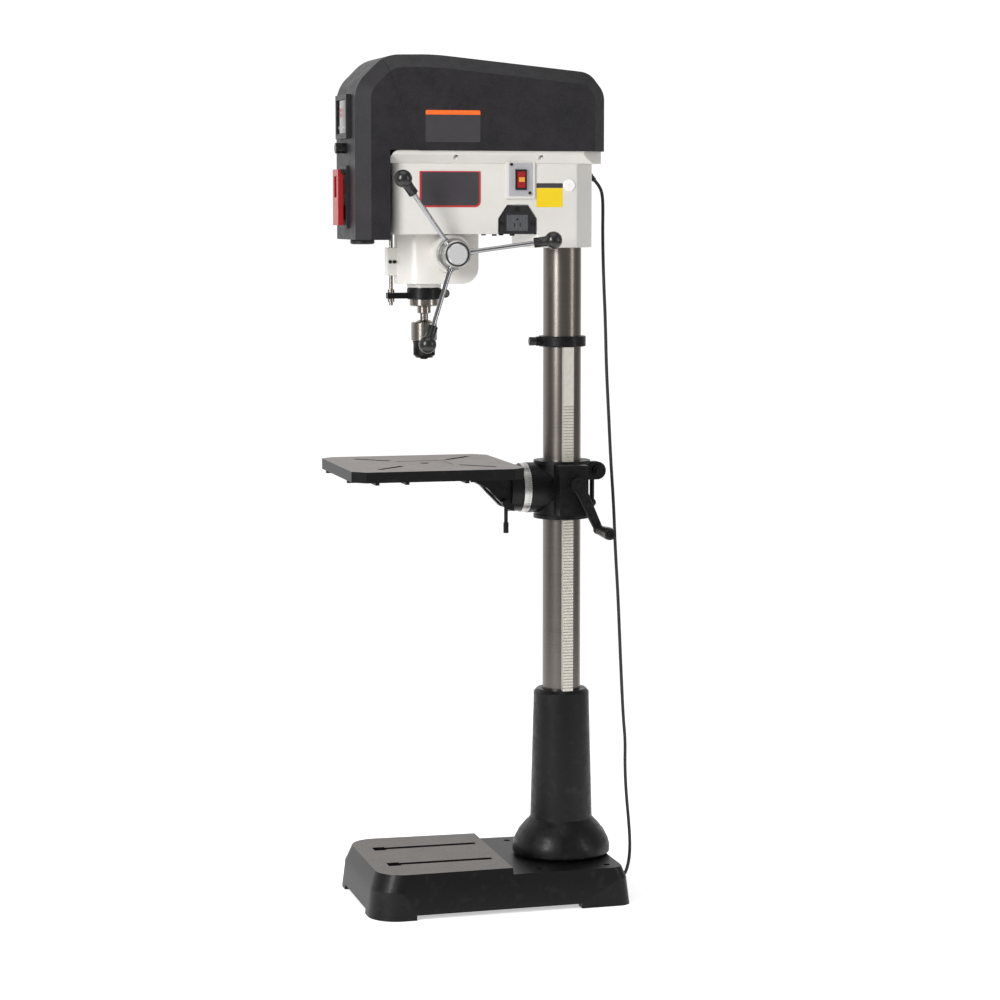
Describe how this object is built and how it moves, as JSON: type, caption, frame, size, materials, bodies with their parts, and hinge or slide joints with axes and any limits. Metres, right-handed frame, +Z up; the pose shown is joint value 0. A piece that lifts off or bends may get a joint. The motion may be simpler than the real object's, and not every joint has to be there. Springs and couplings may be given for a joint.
{
  "type": "drill press",
  "caption": "Floor-standing drill press with a covered belt-drive head, three-arm feed handle, keyless chuck, crank-lifted tilting table and slotted base.",
  "frame": {"origin": "on the floor, straight below the column's axis", "axes": "+Z up; -Y towards the operator, where the spindle is; +X to the operator's right, the side with the feed handles, the rack and the table crank"},
  "size_m": [0.4801, 0.6442, 1.7635],
  "materials": {
    "cast_black": "satin black paint",
    "cover_black": "fine textured black",
    "head_white": "gloss off-white enamel",
    "machined_iron": "ground face",
    "polished_steel": "turned and polished",
    "bright_steel": "bright",
    "dark_steel": "black oxide",
    "aluminium": "machined",
    "knob_black": "moulded",
    "panel_black": "moulded",
    "red_plastic": "moulded",
    "green_plastic": "moulded",
    "orange_plastic": "moulded",
    "yellow_plastic": "moulded",
    "display": "window in a bezel",
    "lamp": "lamp ring with a frosted lens",
    "circuit_board": "circuit board",
    "bronze": "bearing metal",
    "spring_steel": "blued",
    "rubber": "matt"
  },
  "bodies": {
    "machine": {"base_casting": "cast_black", "column_flange": "cast_black", "flange_bolts": "dark_steel", "column": "polished_steel", "rack_collar": "cast_black", "head_casting": "head_white", "front_cover": "cover_black", "belt_cover": "cover_black", "head_screws": "dark_steel", "switch_plate": "bright_steel", "socket_panel": "panel_black", "display": "display", "control_board": "circuit_board", "switch_frame": "panel_black", "work_lamp": "lamp", "spring_housing": "panel_black", "return_spring": "spring_steel", "motor": "cast_black", "head_bearings": "bronze", "belt": "rubber", "strain_relief": "rubber", "power_cord": "rubber", "cord_coil": "rubber", "plug": "rubber"},
    "feed": {"feed_shaft": "polished_steel", "feed_hub": "aluminium", "feed_rods": "bright_steel", "feed_knobs": "knob_black"},
    "quill": {"quill": "polished_steel", "quill_bearings": "polished_steel", "quill_collar": "cast_black", "depth_rod": "polished_steel"},
    "pulley": {"spindle_pulley": "aluminium"},
    "motor_rotor": {"motor_pulley": "aluminium"},
    "spindle": {"spindle": "polished_steel", "chuck_body": "polished_steel"},
    "sleeve": {"chuck_sleeve": "dark_steel"},
    "jaw_1": {"chuck_jaw_1": "dark_steel"},
    "jaw_2": {"chuck_jaw_2": "dark_steel"},
    "jaw_3": {"chuck_jaw_3": "dark_steel"},
    "rack": {"rack": "machined_iron"},
    "bracket": {"table_bracket": "cast_black", "bracket_bolts": "dark_steel"},
    "lift_gear": {"lift_gear": "machined_iron"},
    "crank": {"table_crank": "cast_black"},
    "crank_grip": {"crank_grip": "knob_black"},
    "clamp_lever": {"clamp_lever": "cast_black"},
    "table": {"tilt_ring": "aluminium", "table_arm": "cast_black", "table_bolts": "dark_steel", "table": "machined_iron", "table_insert": "machined_iron"},
    "tilt_lever": {"tilt_lever": "dark_steel"},
    "speed_knob": {"speed_knob": "knob_black"},
    "start_button": {"start_button": "green_plastic"},
    "stop_button": {"stop_button": "red_plastic"},
    "stop_paddle": {"stop_paddle": "red_plastic"},
    "rocker": {"rocker": "orange_plastic"},
    "safety_key": {"safety_key": "yellow_plastic"},
    "collar_knob": {"collar_knob": "knob_black"}
  },
  "joints": [
    {"name": "feed_turn", "type": "hinge", "parent": "machine", "child": "feed", "pos_m": [0, -0.26, 1.361], "axis": [1, 0, 0], "range_deg": [0, 620], "stiffness_Nm_per_rad": 0.15, "springref_deg": -458.37},
    {"name": "quill_slide", "type": "slide", "parent": "machine", "child": "quill", "axis": [0, 0, -1], "range_m": [0, 0.125]},
    {"name": "pulley_spin", "type": "hinge", "parent": "machine", "child": "pulley", "pos_m": [0, -0.298, 1.62], "axis": [0, 0, 1], "continuous": true},
    {"name": "spindle_spin", "type": "hinge", "parent": "quill", "child": "spindle", "pos_m": [0, -0.298, 1.3], "axis": [0, 0, 1], "continuous": true},
    {"name": "motor_spin", "type": "hinge", "parent": "machine", "child": "motor_rotor", "pos_m": [0, -0.14, 1.62], "axis": [0, 0, 1], "continuous": true},
    {"name": "sleeve_turn", "type": "hinge", "parent": "spindle", "child": "sleeve", "pos_m": [0, -0.298, 1.165], "axis": [0, 0, 1], "range_deg": [0, 600]},
    {"name": "jaw_1_slide", "type": "slide", "parent": "spindle", "child": "jaw_1", "axis": [0.1736, 0, 0.9848], "range_m": [0, 0.01]},
    {"name": "jaw_2_slide", "type": "slide", "parent": "spindle", "child": "jaw_2", "axis": [-0.0868, 0.1504, 0.9848], "range_m": [0, 0.01]},
    {"name": "jaw_3_slide", "type": "slide", "parent": "spindle", "child": "jaw_3", "axis": [-0.0868, -0.1504, 0.9848], "range_m": [0, 0.01]},
    {"name": "table_swing", "type": "hinge", "parent": "machine", "child": "rack", "pos_m": [0, 0, 0.868], "axis": [0, 0, 1], "range_deg": [-90, 30]},
    {"name": "table_lift", "type": "slide", "parent": "rack", "child": "bracket", "axis": [0, 0, 1], "range_m": [-0.35, 0.08]},
    {"name": "lift_gear_turn", "type": "hinge", "parent": "bracket", "child": "lift_gear", "pos_m": [0.0683, 0, 0.858], "axis": [0, 1, 0], "continuous": true},
    {"name": "crank_turn", "type": "hinge", "parent": "bracket", "child": "crank", "pos_m": [0.1013, 0.004, 0.8823], "axis": [1, 0, 0], "continuous": true},
    {"name": "grip_spin", "type": "hinge", "parent": "crank", "child": "crank_grip", "pos_m": [0.1183, 0.0493, 0.78647], "axis": [1, 0, 0], "continuous": true},
    {"name": "clamp_lever_turn", "type": "hinge", "parent": "bracket", "child": "clamp_lever", "pos_m": [0, 0.075, 0.901], "axis": [1, 0, 0], "range_deg": [0, 110]},
    {"name": "table_tilt", "type": "hinge", "parent": "bracket", "child": "table", "pos_m": [0, -0.1, 0.868], "axis": [0, 1, 0], "range_deg": [-45, 45]},
    {"name": "tilt_lever_turn", "type": "hinge", "parent": "table", "child": "tilt_lever", "pos_m": [0.045, -0.134, 0.84], "axis": [1, 0, 0], "range_deg": [-60, 60]},
    {"name": "speed_knob_turn", "type": "hinge", "parent": "machine", "child": "speed_knob", "pos_m": [0, -0.47, 1.576], "axis": [0, 1, 0], "range_deg": [-135, 135]},
    {"name": "start_press", "type": "slide", "parent": "machine", "child": "start_button", "axis": [0, 1, 0], "range_m": [0, 0.003], "stiffness_N_per_m": 400},
    {"name": "stop_press", "type": "slide", "parent": "machine", "child": "stop_button", "axis": [0, 1, 0], "range_m": [0, 0.003], "stiffness_N_per_m": 400},
    {"name": "paddle_lift", "type": "hinge", "parent": "machine", "child": "stop_paddle", "pos_m": [0, -0.475, 1.529], "axis": [1, 0, 0], "range_deg": [-85, 0]},
    {"name": "rocker_rock", "type": "hinge", "parent": "machine", "child": "rocker", "pos_m": [0.109, -0.119, 1.512], "axis": [0, 1, 0], "range_deg": [-8, 8]},
    {"name": "key_pull", "type": "slide", "parent": "rocker", "child": "safety_key", "axis": [1, 0, 0], "range_m": [0, 0.02]},
    {"name": "collar_knob_turn", "type": "hinge", "parent": "machine", "child": "collar_knob", "pos_m": [0, -0.06, 1.176], "axis": [0, 1, 0], "range_deg": [-180, 180]}
  ],
  "couplings": [
    {"joint": "quill_slide", "follows": "feed_turn", "m_per_rad": 0.0115},
    {"joint": "spindle_spin", "follows": "pulley_spin", "ratio": 1},
    {"joint": "motor_spin", "follows": "pulley_spin", "ratio": 2},
    {"joint": "jaw_1_slide", "follows": "sleeve_turn", "m_per_rad": 0.00095},
    {"joint": "jaw_2_slide", "follows": "sleeve_turn", "m_per_rad": 0.00095},
    {"joint": "jaw_3_slide", "follows": "sleeve_turn", "m_per_rad": 0.00095},
    {"joint": "lift_gear_turn", "follows": "table_lift", "rad_per_m": -62.5},
    {"joint": "crank_turn", "follows": "table_lift", "rad_per_m": 250}
  ]
}
